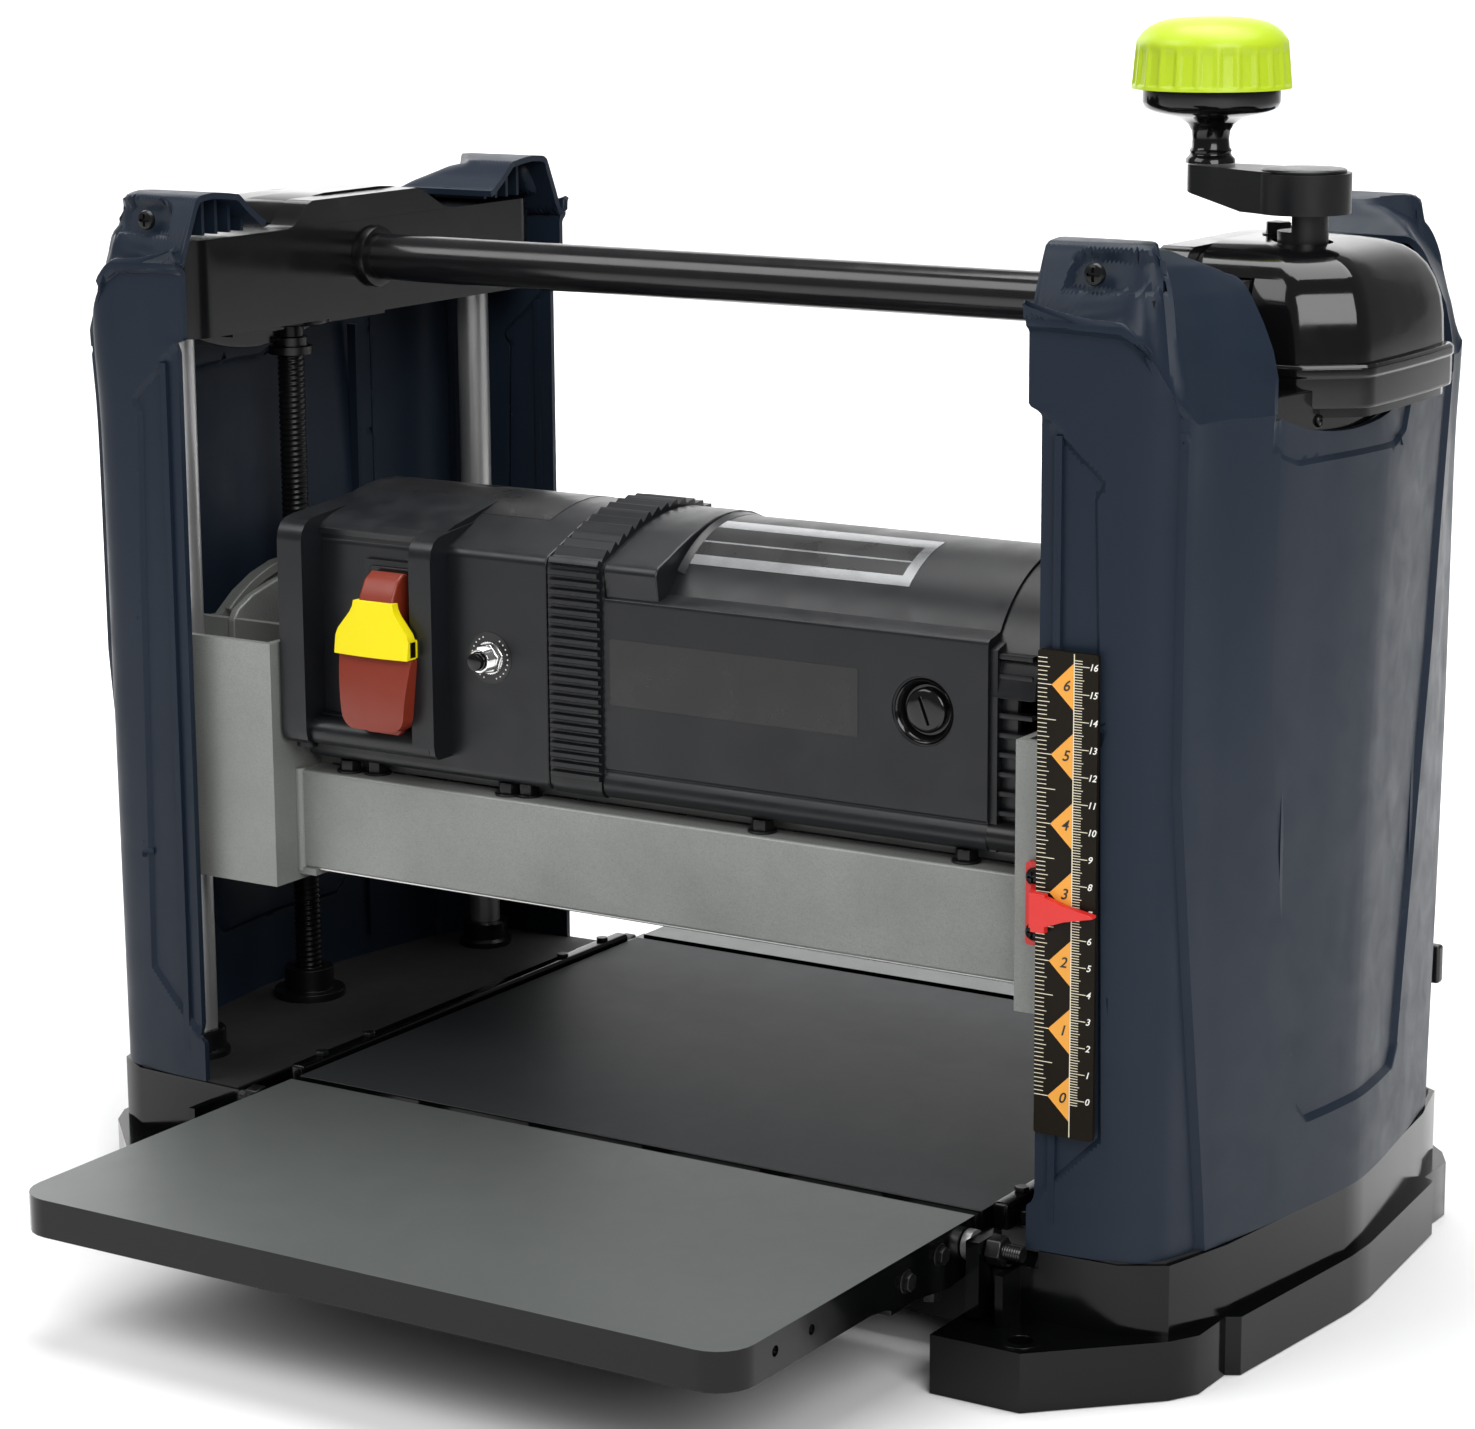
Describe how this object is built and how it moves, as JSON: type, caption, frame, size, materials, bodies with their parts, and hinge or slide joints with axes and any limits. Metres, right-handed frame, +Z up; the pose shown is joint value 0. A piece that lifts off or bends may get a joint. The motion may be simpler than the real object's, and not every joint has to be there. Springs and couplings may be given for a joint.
{
  "type": "thickness planer",
  "caption": "Benchtop thickness planer with folding tables, a screw-lifted cutterhead carriage with its motor, a crank, a depth scale and a paddle switch.",
  "frame": {"origin": "on the floor, midway between the two posts and midway between the ends of the folding tables", "axes": "+Z up; +X to the crank side, seen by someone who stands at the infeed table; +Y the way the board travels, from the infeed to the outfeed table"},
  "size_m": [0.556, 0.598, 0.4915],
  "materials": {
    "cover_slate": "satin dark slate blue-grey moulding",
    "black_gloss": "glossy black",
    "base_black": "glossy black paint over a casting",
    "black_satin": "satin black",
    "housing_black": "fine matte charcoal",
    "cast_silver": "hammered silver-grey",
    "polished_steel": "polished",
    "chrome_steel": "bright chrome",
    "dark_steel": "oiled dark steel",
    "table_grey": "worn grey bed",
    "table_sheet": "greenish-grey paint over steel sheet",
    "rubber_black": "matte",
    "switch_red": "satin red",
    "key_yellow": "satin yellow",
    "pointer_red": "red",
    "knob_lime": "satin lime",
    "scale_black": "printed plate",
    "copper": "wound copper on steel"
  },
  "bodies": {
    "frame": {"base_casting": "base_black", "main_table": "table_grey", "front_left_column": "polished_steel", "front_right_column": "polished_steel", "rear_left_column": "polished_steel", "rear_right_column": "polished_steel", "left_top_bracket": "black_satin", "right_top_bracket": "black_satin", "left_post_cover": "cover_slate", "right_post_cover": "cover_slate", "left_top_cap": "black_gloss", "gear_cover": "black_gloss", "gear_cover_band": "black_gloss", "handle_tube": "black_satin", "depth_scale": "scale_black", "left_screw_bearing": "dark_steel", "right_screw_bearing": "dark_steel", "lift_chain": "dark_steel", "infeed_fold_bolt_left": "dark_steel", "infeed_fold_bolt_right": "dark_steel", "outfeed_fold_bolt_left": "dark_steel", "outfeed_fold_bolt_right": "dark_steel", "rear_tool_clip": "cover_slate"},
    "carriage": {"left_carriage_end": "cast_silver", "right_carriage_end": "cast_silver", "front_beam": "cast_silver", "rear_beam": "cast_silver", "carriage_deck": "cast_silver", "drive_housing": "housing_black", "ribbed_ring": "housing_black", "motor_housing": "housing_black", "motor_end_cap": "housing_black", "switch_guard": "housing_black", "breaker_collar": "chrome_steel", "brush_cap": "black_gloss", "depth_pointer": "pointer_red", "motor_stator": "dark_steel", "drive_belt": "rubber_black", "chip_deflector": "housing_black"},
    "cutterhead": {"cutterhead_drum": "polished_steel", "first_knife": "polished_steel", "second_knife": "polished_steel", "cutterhead_pulley": "dark_steel"},
    "rotor": {"motor_rotor": "copper", "motor_fan": "housing_black", "motor_pulley": "dark_steel"},
    "infeed_feed_roller": {"infeed_roller": "rubber_black"},
    "outfeed_feed_roller": {"outfeed_roller": "rubber_black"},
    "crank": {"right_leadscrew": "dark_steel", "crank_arm": "black_satin", "right_sprocket": "dark_steel"},
    "left_screw": {"left_leadscrew": "dark_steel", "left_sprocket": "dark_steel"},
    "knob": {"knob_stem": "black_gloss", "knob_cap": "knob_lime"},
    "infeed_leaf": {"infeed_table": "table_sheet"},
    "outfeed_leaf": {"outfeed_table": "table_sheet"},
    "paddle": {"switch_paddle": "switch_red"},
    "key": {"safety_key": "key_yellow"},
    "reset": {"reset_button": "black_gloss"}
  },
  "joints": [
    {"name": "crank_turn", "type": "hinge", "parent": "frame", "child": "crank", "pos_m": [0.239, -0.008, 0.42], "axis": [0, 0, -1], "range_deg": [-15424, 17918]},
    {"name": "carriage_lift", "type": "slide", "parent": "frame", "child": "carriage", "axis": [0, 0, 1], "range_m": [-0.068, 0.079]},
    {"name": "left_screw_turn", "type": "hinge", "parent": "frame", "child": "left_screw", "pos_m": [-0.239, -0.008, 0.05], "axis": [0, 0, -1], "range_deg": [-15424, 17918]},
    {"name": "knob_spin", "type": "hinge", "parent": "crank", "child": "knob", "pos_m": [0.19528, 0.00347, 0.44], "axis": [0, 0, 1], "continuous": true},
    {"name": "motor_spin", "type": "hinge", "parent": "carriage", "child": "rotor", "pos_m": [0.0105, -0.05, 0.241], "axis": [1, 0, 0], "continuous": true},
    {"name": "cutterhead_spin", "type": "hinge", "parent": "carriage", "child": "cutterhead", "pos_m": [0.0105, 0, 0.1555], "axis": [1, 0, 0], "continuous": true},
    {"name": "infeed_roller_turn", "type": "hinge", "parent": "carriage", "child": "infeed_feed_roller", "pos_m": [0.0105, -0.045, 0.1442], "axis": [1, 0, 0], "continuous": true},
    {"name": "outfeed_roller_turn", "type": "hinge", "parent": "carriage", "child": "outfeed_feed_roller", "pos_m": [0.0105, 0.045, 0.1442], "axis": [1, 0, 0], "continuous": true},
    {"name": "infeed_fold", "type": "hinge", "parent": "frame", "child": "infeed_leaf", "pos_m": [0.0105, -0.1375, 0.049], "axis": [-1, 0, 0], "range_deg": [0, 90]},
    {"name": "outfeed_fold", "type": "hinge", "parent": "frame", "child": "outfeed_leaf", "pos_m": [0.0105, 0.1375, 0.049], "axis": [1, 0, 0], "range_deg": [0, 90]},
    {"name": "switch_paddle_tilt", "type": "hinge", "parent": "carriage", "child": "paddle", "pos_m": [-0.11, -0.104, 0.266], "axis": [-1, 0, 0], "range_deg": [0, 8]},
    {"name": "safety_key_slide", "type": "slide", "parent": "paddle", "child": "key", "axis": [0, -1, 0], "range_m": [0, 0.012]},
    {"name": "reset_press", "type": "slide", "parent": "carriage", "child": "reset", "axis": [0, 1, 0], "range_m": [0, 0.003], "stiffness_N_per_m": 400}
  ],
  "couplings": [
    {"joint": "crank_turn", "follows": "carriage_lift", "rad_per_m": 3957.9},
    {"joint": "left_screw_turn", "follows": "carriage_lift", "rad_per_m": 3957.9},
    {"joint": "cutterhead_spin", "follows": "motor_spin", "ratio": 0.57692},
    {"joint": "infeed_roller_turn", "follows": "motor_spin", "ratio": -0.0056},
    {"joint": "outfeed_roller_turn", "follows": "motor_spin", "ratio": -0.0056}
  ]
}
